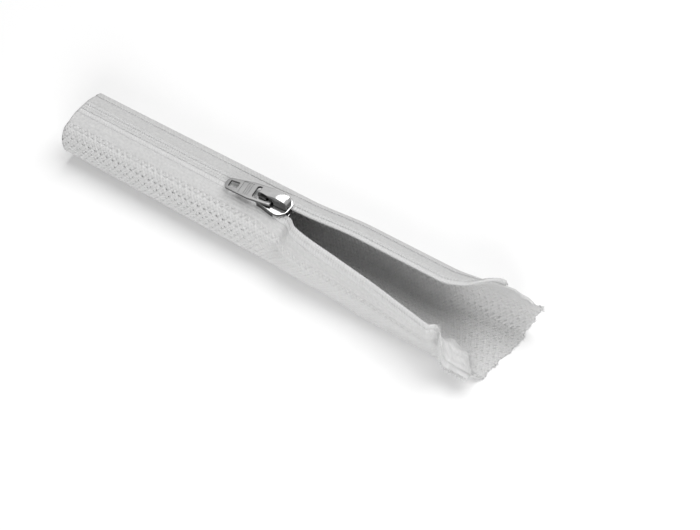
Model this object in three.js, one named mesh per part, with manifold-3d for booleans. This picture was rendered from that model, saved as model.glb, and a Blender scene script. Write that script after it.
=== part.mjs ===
// Zippered cable sleeve: a woven mesh tube that a coil zip closes along its top, with the
// slider run part of the way and the free end lying open. All sizes are millimetres.
// s runs along the sleeve from its closed end, d runs round the cloth away from the zip's
// centre line, and n is the height off the middle of the zip tape, outwards.
import * as THREE from 'three';
import { mergeVertices } from 'three/addons/utils/BufferGeometryUtils.js';
import Module from 'manifold-3d';

const wasm = await Module();
wasm.setup();

// Sleeve form
const sleeveLength = 192;
const noseAt = 97;
const formHeight = 17.55;
const topFlat = 4.7;
const sideRise = 1.5;
const bottomFlatClosedEnd = 3.8;
const bottomFlatAtSlider = 5.2;
const bottomFlatNearOpen = 12.2;
const bottomFlatFarOpen = 9.5;
const cutFray = 0.5;
const cutFrayWaves = [23, 9];
const cutFrom = 160;

// Where the cut end lies along the sleeve, for places round the cloth from its near edge at
// -1 past the bottom at 0 to its far edge at 1
const cutPlaces = [
  [-1, 184], [-0.85, 180.5], [-0.7, 176.5], [-0.35, 184.5], [0, 187],
  [0.6, 190], [0.8, 191.5], [0.9, 186], [0.95, 182], [1, 179],
];

// How the open part falls apart, in degrees and millimetres
const nearLean = 77;
const nearLeanReach = 75;
const nearLeanPower = 0.6;
const nearLeanSoftening = 6;
const nearFlatReach = 45;
const leanZone = 0.6;
const nearRise = 78;
const nearRiseFrom = 164;
const nearRiseReach = 9;
const farLean = 30;
const farLeanFrom = 157;
const farLeanReach = 20;
const openDrift = 1.8;
const openDriftFrom = 98;
const openDriftReach = 26;
const nearFold = { from: 165, reach: 10, turn: 215, outer: 15.5, inner: 7 };
const farFold = { from: 165, reach: 12, turn: 45, outer: 11, inner: 3 };

// Cloth, zip tape and seams
const gap = 0.3;
const tapeThickness = 0.5;
const tapeInner = 1.5;
const tapeOuter = 13;
const tapeLines = 4;
const meshThickness = 0.7;
const meshEdge = 8.2;
const seamInset = 1.4;
const threadWidth = 0.5;
const threadHeight = 0.4;

// Gaps in the mesh
const gapPitch = 7.8;
const gapLength = 2.2;
const gapHeight = 1.7;
const gapRowPitch = 6.3;
const gapRowInset = 5.5;
const gapRows = 4;
const gapColumnsClosed = 10;
const gapColumnsOpen = 5;
const gapsClosedFrom = 5;
const gapsOpenFrom = 119;
const plainStations = 10;
const slackStations = 2;
const foldFrom = 166;
const foldTo = 180;
const foldStation = 0.7;
const endStations = 6;

// Zip coil
const coilPitch = 3;
const coilHeight = 1.5;
const coilOuter = 3.1;
const coilRail = 1.9;
const coilMesh = 0.55;
const zipSpread = 2.2;
const zipSpreadReach = 11;
const zipSpreadFade = 16;

// Slider
const sliderLength = 13;
const plateThickness = 1;
const lowerPlateThickness = 0.9;
const plateRearHalf = 4;
const plateShoulderHalf = 5.2;
const shoulderBack = 3.6;
const noseHalf = 1.7;
const noseFlare = 1.6;
const plateCurveRear = 9;
const plateCurveFront = 7;
const plateCorner = 1;
const lowerPlateInset = 0.4;
const wedgeTipHalf = 0.12;
const plateEdge = 0.25;
const flangeFrontBack = 4.4;
const wedgeFront = 0.6;
const wedgeBack = 6;
const windowBack = 12.3;
const windowFront = 11.2;
const windowHalf = 1.1;
const channelSteps = 10;
const wedgeSteps = 5;

// Slider cap, measured back from the nose and up from the top plate
const capBack = 12.9;
const capFront = 0.4;
const capHeight = 4.6;
const capRearHeight = 3.4;
const capHalf = 2.1;
const capNoseHalf = 1.3;
const capWall = 0.75;
const capEdge = 0.3;
const capRearRound = 2;
const capSwellFrom = 8.4;
const capSwellTo = 7.6;
const capTopBack = 5;
const capNoseRound = 2.4;
const capTaperReach = 3.6;
const capRearTaper = 0.35;
const capRearTaperFrom = 8;
const capRearTaperReach = 3;
const capSideWall = 1;
const capNoseKnee = 1 / 3;
const capPlanSteps = 12;
const notchBack = 9.1;
const notchFront = 6.1;
const notchClearance = 0.35;
const notchCorner = 0.8;

// Lock spring
const springThickness = 0.35;
const springHalf = 0.8;
const pinKnee = 1.25;
const springFootBack = 1.7;
const springRiseFrom = 3.4;
const springRiseTo = 5.6;
const springKneeBack = 9.3;

// Pull tab
const barBack = 7.6;
const barRadius = 0.7;
const barLift = 0.45;
const tabThickness = 1;
const ringHoleLength = 6.6;
const ringHoleHalf = 3;
const ringArm = 1;
const tabReach = 19.3;
const tabTipHalf = 2.7;
const tabRim = 0.6;
const tabFaceDrop = 0.2;
const tabHoleLength = 3.9;
const tabHoleHalf = 1.6;
const tabHoleInset = 1.5;
const tabHoleCorner = 0.5;
const tabCorner = 1;
const tabTipRound = 2;
const tabNeckBack = 8.8;
const tabEdge = 0.15;
const ringHoleCorner = 1.2;
const tabRidges = 3;
const tabRidgePitch = 0.85;
const tabRidgeWidth = 0.4;
const tabRidgeInset = 1.1;
const tabFaceInset = 0.9;
const tabYaw = 7;
const tabSlope = 4;

// Worked-out heights above the middle of the tape
const overTape = tapeThickness / 2 + gap;
const coilTop = overTape + coilHeight;
const meshTop = overTape + meshThickness;
const plateBottom = coilTop + gap;
const plateTop = plateBottom + plateThickness;
const lowerPlateTop = -overTape;
const lowerPlateBottom = lowerPlateTop - lowerPlateThickness;
const barHeight = barRadius + barLift;
const tapePlane = formHeight + meshTop;
const near = -1;
const far = 1;
const integrationStep = 0.25;
const weldDistance = 1e-5;
const solidWeldDistance = 1e-4;
const overlap = 0.2;
const overrun = 1;
const bevelSegments = 2;
const curveSegments = 5;
const halfGirthOpen = halfGirthFor(bottomFlatAtSlider);

function ease(t) {
  const c = Math.min(Math.max(t, 0), 1);
  return c * c * (3 - 2 * c);
}

function radians(degrees) {
  return THREE.MathUtils.degToRad(degrees);
}

// Half the way round the closed section whose height is formHeight
function halfGirthFor(bottomFlat) {
  const lower = (formHeight - sideRise + topFlat - bottomFlat) / 2;
  const upper = bottomFlat + lower - topFlat;
  return bottomFlat + topFlat + sideRise + (lower + upper) * Math.PI / 2;
}

function bottomFlatAt(s, side) {
  if (s < noseAt) {
    return THREE.MathUtils.lerp(bottomFlatClosedEnd, bottomFlatAtSlider, ease(s / noseAt));
  }
  const open = side === near ? bottomFlatNearOpen : bottomFlatFarOpen;
  const from = side === near ? noseAt : farLeanFrom;
  const reach = side === near ? nearFlatReach : farLeanReach;
  return THREE.MathUtils.lerp(bottomFlatAtSlider, open, ease((s - from) / reach));
}

function leanAt(s, side) {
  if (side === far) {
    return radians(farLean) * ease((s - farLeanFrom) / farLeanReach);
  }
  const t = Math.min(Math.max((s - noseAt) / nearLeanReach, 0), 1);
  const opening = Math.pow(t, nearLeanPower) * ease((s - noseAt) / nearLeanSoftening);
  const rise = radians(nearRise) * ease((s - nearRiseFrom) / nearRiseReach);
  return radians(nearLean) * opening - rise;
}

function halfGirthAt(s) {
  return s < noseAt ? halfGirthFor(bottomFlatAt(s, far)) : halfGirthOpen;
}

// How far each half of the zip is pushed off the centre line by the slider's wedge
function spreadAt(s) {
  return zipSpread * ease((s - noseAt + zipSpreadReach) / zipSpreadReach);
}

// One half section as points from the bottom centre up to the zip and a little past it
const sectionCache = new Map();
function halfSection(s, side) {
  const key = `${side}:${s.toFixed(4)}`;
  if (sectionCache.has(key)) {
    return sectionCache.get(key);
  }
  const girth = halfGirthAt(s);
  const bottomFlat = bottomFlatAt(s, side);
  const radiusSum = (girth - bottomFlat - topFlat - sideRise) / (Math.PI / 2);
  const lower = (radiusSum + topFlat - bottomFlat) / 2;
  const upper = radiusSum - lower;
  const lean = leanAt(s, side);
  const fold = side === near ? nearFold : farFold;
  const foldTurn = radians(fold.turn) * ease((s - fold.from) / fold.reach);
  const headingAt = (p) => {
    const past = p - bottomFlat;
    const first = Math.min(Math.max(past / lower, 0), Math.PI / 2);
    const rest = past - lower * Math.PI / 2 - sideRise;
    const second = Math.min(Math.max(rest / upper, 0), Math.PI / 2);
    const leaning = lean * ease(past / (leanZone * (girth - bottomFlat)));
    const folding = foldTurn * ease((fold.outer - (girth - p)) / (fold.outer - fold.inner));
    return first + second - leaning - folding;
  };
  const points = [];
  let y = 0;
  let z = 0;
  for (let p = 0; p < girth + topFlat; p += integrationStep) {
    const heading = headingAt(p);
    points.push({ y, z, heading });
    const middle = headingAt(p + integrationStep / 2);
    y += Math.cos(middle) * integrationStep;
    z += Math.sin(middle) * integrationStep;
  }
  const section = { points, girth };
  sectionCache.set(key, section);
  return section;
}

function cutAt(round) {
  const next = Math.max(1, cutPlaces.findIndex(([place]) => place >= round));
  const [place0, cut0] = cutPlaces[next - 1];
  const [place1, cut1] = cutPlaces[next];
  const fray = cutFray * Math.sin(round * cutFrayWaves[0]) * Math.cos(round * cutFrayWaves[1]);
  return THREE.MathUtils.lerp(cut0, cut1, (round - place0) / (place1 - place0)) + fray;
}

// Draws the stations past cutFrom in so that the last one lies on the cut
function trimmed(s, side, d) {
  if (s < cutFrom) {
    return s;
  }
  const round = side * Math.max(0, 1 - d / halfGirthAt(s));
  return cutFrom + (s - cutFrom) * (cutAt(round) - cutFrom) / (sleeveLength - cutFrom);
}

// A place on the cloth as a point in space
function drape(along, side, d, n) {
  const { points, girth } = halfSection(along, side);
  const spread = spreadAt(along) * (1 - ease((d - coilOuter) / zipSpreadFade));
  const p = girth - d - spread;
  const index = Math.min(Math.max(p / integrationStep, 0), points.length - 1.001);
  const low = Math.floor(index);
  const mix = index - low;
  const a = points[low];
  const b = points[low + 1];
  const heading = THREE.MathUtils.lerp(a.heading, b.heading, mix);
  const y = THREE.MathUtils.lerp(a.y, b.y, mix) + Math.sin(heading) * n;
  const z = THREE.MathUtils.lerp(a.z, b.z, mix) - Math.cos(heading) * n;
  const drift = openDrift * ease((along - openDriftFrom) / openDriftReach);
  return new THREE.Vector3(along, side * y + drift, z + meshTop);
}

// A closed sheet over a grid of places; cells that are missing become holes or notches.
// The rows run from the near side of the zip round the bottom to the far side of it.
function sheet(columns, rows, placeAt, isMissing, low, high) {
  const positions = [];
  const triangles = [];
  const vertex = (i, j, top) => (i * rows + j) * 2 + top;
  for (let i = 0; i < columns; i += 1) {
    for (let j = 0; j < rows; j += 1) {
      const { s, side, d } = placeAt(i, j);
      positions.push(...drape(s, side, d, low).toArray());
      positions.push(...drape(s, side, d, high).toArray());
    }
  }
  const solid = (i, j) => i >= 0 && j >= 0 && i < columns - 1 && j < rows - 1 && !isMissing(i, j);
  const quad = (a, b, c, d) => triangles.push(a, b, c, a, c, d);
  for (let i = 0; i < columns - 1; i += 1) {
    for (let j = 0; j < rows - 1; j += 1) {
      if (!solid(i, j)) {
        continue;
      }
      const [i1, j1] = [i + 1, j + 1];
      quad(vertex(i, j, 1), vertex(i, j1, 1), vertex(i1, j1, 1), vertex(i1, j, 1));
      quad(vertex(i, j, 0), vertex(i1, j, 0), vertex(i1, j1, 0), vertex(i, j1, 0));
      if (!solid(i - 1, j)) {
        quad(vertex(i, j, 0), vertex(i, j1, 0), vertex(i, j1, 1), vertex(i, j, 1));
      }
      if (!solid(i1, j)) {
        quad(vertex(i1, j, 0), vertex(i1, j, 1), vertex(i1, j1, 1), vertex(i1, j1, 0));
      }
      if (!solid(i, j - 1)) {
        quad(vertex(i, j, 0), vertex(i, j, 1), vertex(i1, j, 1), vertex(i1, j, 0));
      }
      if (!solid(i, j1)) {
        quad(vertex(i, j1, 0), vertex(i1, j1, 0), vertex(i1, j1, 1), vertex(i, j1, 1));
      }
    }
  }
  const geometry = new THREE.BufferGeometry();
  geometry.setAttribute('position', new THREE.Float32BufferAttribute(positions, 3));
  geometry.setIndex(triangles);
  return mergeVertices(geometry.toNonIndexed(), weldDistance);
}

// Stations along the sleeve: pairs where the mesh has a column of gaps, single ones elsewhere
function makeStations() {
  const stations = [{ s: 0 }];
  const addGaps = (from, count, region) => {
    for (let k = 0; k < count; k += 1) {
      const start = from + k * gapPitch;
      stations.push({ s: start, region, opens: true }, { s: start + gapLength, region });
    }
  };
  const addPlain = (from, to, count) => {
    for (let k = 0; k < count; k += 1) {
      stations.push({ s: THREE.MathUtils.lerp(from, to, k / count) });
    }
  };
  addGaps(gapsClosedFrom, gapColumnsClosed, 'closed');
  const closedEnd = gapsClosedFrom + gapColumnsClosed * gapPitch;
  addPlain(closedEnd + gapLength, gapsOpenFrom, plainStations);
  addGaps(gapsOpenFrom, gapColumnsOpen, 'open');
  const openEnd = gapsOpenFrom + gapColumnsOpen * gapPitch;
  addPlain(openEnd + gapLength, foldFrom, slackStations);
  addPlain(foldFrom, foldTo, Math.ceil((foldTo - foldFrom) / foldStation));
  addPlain(foldTo, sleeveLength, endStations);
  stations.push({ s: sleeveLength });
  return stations;
}
const stations = makeStations();

// Lines round the mesh: the distance in from its edge, with a pair where a row of gaps lies
function makeMeshLines() {
  const oneSide = [{ inset: 0 }, { inset: seamInset }, { inset: 2 * seamInset }];
  for (let row = 0; row < gapRows; row += 1) {
    const middle = gapRowInset + row * gapRowPitch;
    const shifted = row % 2 === 1;
    oneSide.push({ inset: middle - gapHeight / 2, row, shifted, opens: true });
    oneSide.push({ inset: middle + gapHeight / 2, row, shifted });
    if (row < gapRows - 1) {
      oneSide.push({ inset: middle + gapRowPitch / 2 });
    }
  }
  const nearLines = oneSide.map((line) => ({ ...line, side: near }));
  const farLines = oneSide.map((line) => ({ ...line, side: far, shifted: !line.shifted && 'row' in line }));
  farLines.reverse();
  return [...nearLines, { inset: null, side: far }, ...farLines];
}
const meshLines = makeMeshLines();

function meshPlace(i, j) {
  const station = stations[i];
  const line = meshLines[j];
  const shift = station.region && line.shifted ? gapPitch / 2 : 0;
  const s = station.s + shift;
  const girth = halfGirthAt(s);
  const d = line.inset === null ? girth : meshEdge + line.inset;
  return { s: trimmed(s, line.side, d), side: line.side, d };
}

function isMeshGap(i, j) {
  const station = stations[i];
  const line = meshLines[j];
  const next = meshLines[j + 1];
  if (!station.opens || line.row === undefined || line.row !== next.row) {
    return false;
  }
  return station.region === 'closed' || line.side === far;
}

function makeMesh() {
  return sheet(stations.length, meshLines.length, meshPlace, isMeshGap, overTape, meshTop);
}

// A sheet on one side of the zip between two distances from the centre line
function strip(side, distances, low, high) {
  const sorted = side === near ? distances : [...distances].reverse();
  const placeAt = (i, j) => ({ s: trimmed(stations[i].s, side, sorted[j]), side, d: sorted[j] });
  return sheet(stations.length, sorted.length, placeAt, () => false, low, high);
}

function makeTape(side) {
  const distances = [tapeInner];
  for (let k = 1; k < tapeLines; k += 1) {
    distances.push(THREE.MathUtils.lerp(tapeInner, meshEdge, k / tapeLines));
  }
  distances.push(meshEdge, meshEdge + seamInset, meshEdge + 2 * seamInset, tapeOuter);
  return strip(side, distances, -tapeThickness / 2, tapeThickness / 2);
}

function makeSeamThread(side) {
  const middle = meshEdge + seamInset;
  const distances = [middle - threadWidth / 2, middle + threadWidth / 2];
  return strip(side, distances, meshTop + gap, meshTop + gap + threadHeight);
}

// One half of the coil: a rail sewn to the tape, with loops that reach past the centre line
// and lie between the loops of the other half
function makeCoil(side) {
  const loopWidth = coilPitch / 2 - gap;
  const first = coilPitch / 4 + (side === near ? 0 : coilPitch / 2);
  const coilEnd = cutAt(side) - coilPitch / 4;
  const cells = [];
  const addCells = (from, to, isLoop) => {
    const folding = side === near && to > nearFold.from;
    const count = folding ? Math.ceil((to - from) / foldStation) : 1;
    for (let k = 0; k < count; k += 1) {
      cells.push({ s: THREE.MathUtils.lerp(from, to, k / count), isLoop });
    }
  };
  addCells(0, first, false);
  for (let s = first; s < coilEnd - coilPitch; s += coilPitch) {
    addCells(s, s + loopWidth, true);
    addCells(s + loopWidth, s + coilPitch, false);
  }
  cells.push({ s: coilEnd });
  const distances = [-coilMesh, coilRail, coilOuter];
  const sorted = side === near ? distances : [...distances].reverse();
  const loopRow = sorted.indexOf(-coilMesh) === 0 ? 0 : 1;
  const placeAt = (i, j) => ({ s: cells[i].s, side, d: sorted[j] });
  const isMissing = (i, j) => j === loopRow && !cells[i].isLoop;
  return sheet(cells.length, sorted.length, placeAt, isMissing, overTape, coilTop);
}

// Solid modelling helpers
function toManifold(geometry) {
  const bare = geometry.clone();
  bare.deleteAttribute('normal');
  bare.deleteAttribute('uv');
  const merged = mergeVertices(bare, solidWeldDistance);
  const vertProperties = new Float32Array(merged.attributes.position.array);
  const triVerts = new Uint32Array(merged.index.array);
  return new wasm.Manifold(new wasm.Mesh({ numProp: 3, vertProperties, triVerts }));
}

function toGeometry(manifold) {
  const mesh = manifold.getMesh();
  const geometry = new THREE.BufferGeometry();
  geometry.setAttribute('position', new THREE.BufferAttribute(new Float32Array(mesh.vertProperties), 3));
  geometry.setIndex(new THREE.BufferAttribute(new Uint32Array(mesh.triVerts), 1));
  return geometry;
}

// An outline in plan, x back from the nose as a negative number, raised from low to high
function raisePlan(shape, low, high, edge = 0) {
  const geometry = new THREE.ExtrudeGeometry(shape, {
    depth: high - low - 2 * edge,
    bevelEnabled: edge > 0,
    bevelSize: edge,
    bevelThickness: edge,
    bevelOffset: -edge,
    bevelSegments,
    curveSegments,
  });
  return geometry.translate(0, 0, low + edge);
}

// An outline seen from the side, drawn in x and z, given a width across the zip
function raiseSide(shape, half, edge = 0) {
  const geometry = new THREE.ExtrudeGeometry(shape, {
    depth: 2 * (half - edge),
    bevelEnabled: edge > 0,
    bevelSize: edge,
    bevelThickness: edge,
    bevelOffset: -edge,
    bevelSegments,
    curveSegments,
  });
  geometry.translate(0, 0, edge - half);
  return geometry.rotateX(Math.PI / 2);
}

function platePlan(inset) {
  const rear = -sliderLength + inset;
  const rearHalf = plateRearHalf - inset;
  const half = plateShoulderHalf - inset;
  const nose = noseHalf - inset / 2;
  const flare = nose * noseFlare;
  const corner = plateCorner;
  const shape = new THREE.Shape();
  shape.moveTo(rear + corner, -rearHalf);
  shape.bezierCurveTo(-plateCurveRear, -rearHalf, -plateCurveFront, -half, -shoulderBack, -half);
  shape.bezierCurveTo(-shoulderBack / 2, -half, -inset, -flare, -inset, -nose);
  shape.lineTo(-inset, nose);
  shape.bezierCurveTo(-inset, flare, -shoulderBack / 2, half, -shoulderBack, half);
  shape.bezierCurveTo(-plateCurveFront, half, -plateCurveRear, rearHalf, rear + corner, rearHalf);
  shape.quadraticCurveTo(rear, rearHalf, rear, rearHalf - corner);
  shape.lineTo(rear, corner - rearHalf);
  shape.quadraticCurveTo(rear, -rearHalf, rear + corner, -rearHalf);
  return shape;
}

// The way that the coil takes through the slider, as an outline between two sides
function symmetricPlan(from, to, steps, halfAt) {
  const shape = new THREE.Shape();
  const xAt = (k) => THREE.MathUtils.lerp(from, to, k / steps);
  shape.moveTo(from, -halfAt(from));
  for (let k = 1; k <= steps; k += 1) {
    shape.lineTo(xAt(k), -halfAt(xAt(k)));
  }
  for (let k = steps; k >= 0; k -= 1) {
    shape.lineTo(xAt(k), halfAt(xAt(k)));
  }
  return shape;
}

function makeSliderBody() {
  const channelHalf = (x) => coilOuter + gap + spreadAt(noseAt + x);
  const wedgeHalf = (x) => Math.max(wedgeTipHalf, spreadAt(noseAt + x) - coilMesh - gap);
  const channel = symmetricPlan(-sliderLength - overrun, overrun, channelSteps, channelHalf);
  const wedge = symmetricPlan(-wedgeBack, -wedgeFront, wedgeSteps, wedgeHalf);
  const frontCut = symmetricPlan(-flangeFrontBack, overrun, 1, () => plateShoulderHalf + overrun);
  const windowPlan = symmetricPlan(-windowBack, -windowFront, 1, () => windowHalf);
  const skirt = toManifold(raisePlan(platePlan(plateEdge), overTape, plateBottom + overlap))
    .subtract(toManifold(raisePlan(channel, -overrun, plateBottom + overrun)))
    .subtract(toManifold(raisePlan(frontCut, -overrun, plateBottom + overrun)));
  const upper = toManifold(raisePlan(platePlan(0), plateBottom, plateTop, plateEdge));
  const lower = toManifold(raisePlan(platePlan(lowerPlateInset), lowerPlateBottom, lowerPlateTop, plateEdge));
  const post = toManifold(raisePlan(wedge, lowerPlateTop - overlap, plateBottom + overlap));
  const body = upper
    .add(skirt)
    .add(lower)
    .add(post)
    .subtract(toManifold(raisePlan(windowPlan, plateBottom - overrun, plateTop + overrun)));
  return toGeometry(body);
}

// The arched cap over the bar of the pull tab, open below, with the spring inside it
function makeSliderCap() {
  const outline = (wall) => {
    const shape = new THREE.Shape();
    const back = -capBack + wall;
    const front = -capFront - wall;
    const rearTop = capRearHeight - wall;
    const top = capHeight - wall;
    const floor = wall > 0 ? -overrun : gap;
    shape.moveTo(back, floor);
    shape.lineTo(back, rearTop / 2);
    shape.quadraticCurveTo(back, rearTop, back + capRearRound, rearTop);
    shape.bezierCurveTo(-capSwellFrom, rearTop, -capSwellTo, top, -capTopBack, top);
    shape.bezierCurveTo(-capNoseRound, top, front, top, front, top * capNoseKnee);
    shape.lineTo(front, floor);
    shape.closePath();
    return shape;
  };
  const notch = new THREE.Shape();
  const notchTop = barHeight + barRadius + notchClearance;
  notch.moveTo(-notchBack, -overrun);
  notch.lineTo(-notchBack, notchTop - notchCorner);
  notch.quadraticCurveTo(-notchBack, notchTop, -notchBack + notchCorner, notchTop);
  notch.lineTo(-notchFront - notchCorner, notchTop);
  notch.quadraticCurveTo(-notchFront, notchTop, -notchFront, notchTop - notchCorner);
  notch.lineTo(-notchFront, -overrun);
  notch.closePath();
  const planHalf = (x) => {
    const nose = Math.sqrt(Math.min(1, -x / capTaperReach));
    const rear = ease((-x - capRearTaperFrom) / capRearTaperReach);
    return THREE.MathUtils.lerp(capNoseHalf, capHalf, nose) - capRearTaper * rear;
  };
  const plan = symmetricPlan(-capBack, -capFront / 2, capPlanSteps, planHalf);
  const cap = toManifold(raiseSide(outline(0), capHalf, capEdge))
    .intersect(toManifold(raisePlan(plan, 0, capHeight + overrun)))
    .subtract(toManifold(raiseSide(outline(capWall), capHalf - capSideWall)))
    .subtract(toManifold(raiseSide(notch, capHalf + overrun)));
  return toGeometry(cap);
}

// The leaf that a pull on the tab lifts: front foot, rise over the bar, pin through the window
function makeLockSpring() {
  const over = barHeight + barRadius + gap;
  const pinX = -(windowBack + windowFront) / 2;
  const t = springThickness;
  const shape = new THREE.Shape();
  shape.moveTo(-springFootBack, gap);
  shape.lineTo(-springFootBack, gap + t);
  shape.lineTo(-springRiseFrom, gap + t);
  shape.lineTo(-springRiseTo, over + t);
  shape.lineTo(-springKneeBack, over + t);
  shape.lineTo(pinX - t / 2, pinKnee + t);
  shape.lineTo(pinX - t / 2, -plateThickness);
  shape.lineTo(pinX + t / 2, -plateThickness);
  shape.lineTo(pinX + t / 2, pinKnee);
  shape.lineTo(t / 4 - springKneeBack, over);
  shape.lineTo(t / 2 - springRiseTo, over);
  shape.lineTo(t / 2 - springRiseFrom, gap);
  shape.closePath();
  return raiseSide(shape, springHalf);
}

// The pull tab lies flat in its own plan, with the bar along y and the tip at negative x
function tabPlan() {
  const ringHalf = ringHoleHalf + ringArm;
  const front = barRadius;
  const tip = -tabReach;
  const tipTurn = tip + tabTipRound;
  const corner = tabCorner;
  const shape = new THREE.Shape();
  shape.moveTo(front, corner - ringHalf);
  shape.lineTo(front, ringHalf - corner);
  shape.quadraticCurveTo(front, ringHalf, front - corner, ringHalf);
  shape.lineTo(-tabNeckBack, ringHalf);
  shape.lineTo(tipTurn, tabTipHalf);
  shape.quadraticCurveTo(tip, tabTipHalf, tip, 0);
  shape.quadraticCurveTo(tip, -tabTipHalf, tipTurn, -tabTipHalf);
  shape.lineTo(-tabNeckBack, -ringHalf);
  shape.lineTo(front - corner, -ringHalf);
  shape.quadraticCurveTo(front, -ringHalf, front, corner - ringHalf);
  return shape;
}

function roundedWindow(from, to, half, corner) {
  const shape = new THREE.Shape();
  shape.moveTo(from + corner, -half);
  shape.lineTo(to - corner, -half);
  shape.quadraticCurveTo(to, -half, to, corner - half);
  shape.lineTo(to, half - corner);
  shape.quadraticCurveTo(to, half, to - corner, half);
  shape.lineTo(from + corner, half);
  shape.quadraticCurveTo(from, half, from, half - corner);
  shape.lineTo(from, corner - half);
  shape.quadraticCurveTo(from, -half, from + corner, -half);
  return shape;
}

function makePullTab() {
  const half = tabThickness / 2;
  const faceLevel = half - tabFaceDrop;
  const ringEnd = -barRadius - ringHoleLength;
  const tipHoleFrom = -tabReach + tabHoleInset;
  const tipHoleTo = tipHoleFrom + tabHoleLength;
  const faceFrom = tipHoleTo + tabFaceInset;
  const ridgesFrom = ringEnd - tabRidgeInset - tabRidges * tabRidgePitch;
  const ringHole = roundedWindow(ringEnd, -barRadius, ringHoleHalf, ringHoleCorner);
  const tipHole = roundedWindow(tipHoleFrom, tipHoleTo, tabHoleHalf, tabHoleCorner);
  const taper = (ringHoleHalf + ringArm - tabTipHalf) / (tabReach - tabNeckBack);
  const faceHalf = (x) => tabTipHalf + (x + tabReach) * taper - tabRim;
  const face = symmetricPlan(faceFrom, ridgesFrom - tabRidgeWidth, 1, faceHalf);
  let tab = toManifold(raisePlan(tabPlan(), -half, half, tabEdge))
    .subtract(toManifold(raisePlan(ringHole, -half - overrun, half + overrun)))
    .subtract(toManifold(raisePlan(tipHole, -half - overrun, half + overrun)))
    .subtract(toManifold(raisePlan(face, faceLevel, half + overrun)));
  for (let k = 0; k < tabRidges; k += 1) {
    const from = ridgesFrom + k * tabRidgePitch;
    const groove = symmetricPlan(from, from + tabRidgePitch - tabRidgeWidth, 1, () => ringHoleHalf);
    tab = tab.subtract(toManifold(raisePlan(groove, faceLevel, half + overrun)));
  }
  return toGeometry(tab);
}

// Finishes
function finish(color, roughness, metalness) {
  return new THREE.MeshStandardMaterial({ color, roughness, metalness });
}
const clothWhite = () => finish(0xdcdcdc, 0.9, 0);
const tapeWhite = () => finish(0xe2e2e2, 0.85, 0);
const coilWhite = () => finish(0xe8e8e6, 0.5, 0);
const threadWhite = () => finish(0xf0f0ee, 0.7, 0);
const chrome = () => finish(0xb4b6b8, 0.2, 1);
const satinNickel = () => finish(0x9c9d9f, 0.35, 1);
const springSteel = () => finish(0x8e9092, 0.3, 1);

const group = new THREE.Group();

function addMesh(parent, name, geometry, material) {
  const mesh = new THREE.Mesh(geometry, material);
  mesh.name = name;
  parent.add(mesh);
  return mesh;
}

addMesh(group, 'sleeve_mesh', makeMesh(), clothWhite());
addMesh(group, 'zip_tape_near', makeTape(near), tapeWhite());
addMesh(group, 'zip_tape_far', makeTape(far), tapeWhite());
addMesh(group, 'zip_coil_near', makeCoil(near), coilWhite());
addMesh(group, 'zip_coil_far', makeCoil(far), coilWhite());
addMesh(group, 'seam_thread_near', makeSeamThread(near), threadWhite());
addMesh(group, 'seam_thread_far', makeSeamThread(far), threadWhite());

const slider = new THREE.Group();
slider.position.set(noseAt, 0, tapePlane);
group.add(slider);
addMesh(slider, 'slider_body', makeSliderBody(), chrome());
const onPlate = new THREE.Group();
onPlate.position.z = plateTop;
slider.add(onPlate);
addMesh(onPlate, 'slider_cap', makeSliderCap(), chrome());
addMesh(onPlate, 'lock_spring', makeLockSpring(), springSteel());
const tabPivot = new THREE.Group();
tabPivot.position.set(-barBack, 0, barHeight);
tabPivot.rotation.set(0, radians(-tabSlope), radians(tabYaw), 'ZYX');
onPlate.add(tabPivot);
addMesh(tabPivot, 'pull_tab', makePullTab(), satinNickel());

// The origin goes to the middle of the sleeve's outline, on the surface it lies on
const sleeveBox = new THREE.Box3().setFromObject(group);
group.position.x = -(sleeveBox.min.x + sleeveBox.max.x) / 2;
group.position.y = -(sleeveBox.min.y + sleeveBox.max.y) / 2;

export default group;
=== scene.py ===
import math
import bmesh
import bpy
import numpy as np
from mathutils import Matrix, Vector


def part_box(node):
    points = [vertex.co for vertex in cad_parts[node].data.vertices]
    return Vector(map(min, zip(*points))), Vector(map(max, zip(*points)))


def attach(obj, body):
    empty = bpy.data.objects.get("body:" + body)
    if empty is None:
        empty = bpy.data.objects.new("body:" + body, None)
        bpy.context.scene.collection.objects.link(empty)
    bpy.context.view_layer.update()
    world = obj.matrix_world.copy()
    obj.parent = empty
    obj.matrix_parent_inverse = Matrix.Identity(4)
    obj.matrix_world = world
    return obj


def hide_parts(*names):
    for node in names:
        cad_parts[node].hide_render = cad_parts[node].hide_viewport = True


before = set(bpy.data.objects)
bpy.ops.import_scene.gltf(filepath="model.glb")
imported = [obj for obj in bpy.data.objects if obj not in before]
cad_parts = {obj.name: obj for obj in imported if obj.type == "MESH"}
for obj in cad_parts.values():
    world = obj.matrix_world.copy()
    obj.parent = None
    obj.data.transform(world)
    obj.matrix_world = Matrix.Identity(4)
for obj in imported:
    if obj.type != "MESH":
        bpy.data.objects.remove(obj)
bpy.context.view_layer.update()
scene = bpy.context.scene
mm = 0.001
fullTurn = 2 * math.pi
print("frame loaded")


# Shader and geometry maths as expressions
def plug(tree, slot, value):
    if isinstance(value, Wire):
        tree.links.new(value.socket, slot)
    else:
        slot.default_value = value


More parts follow.
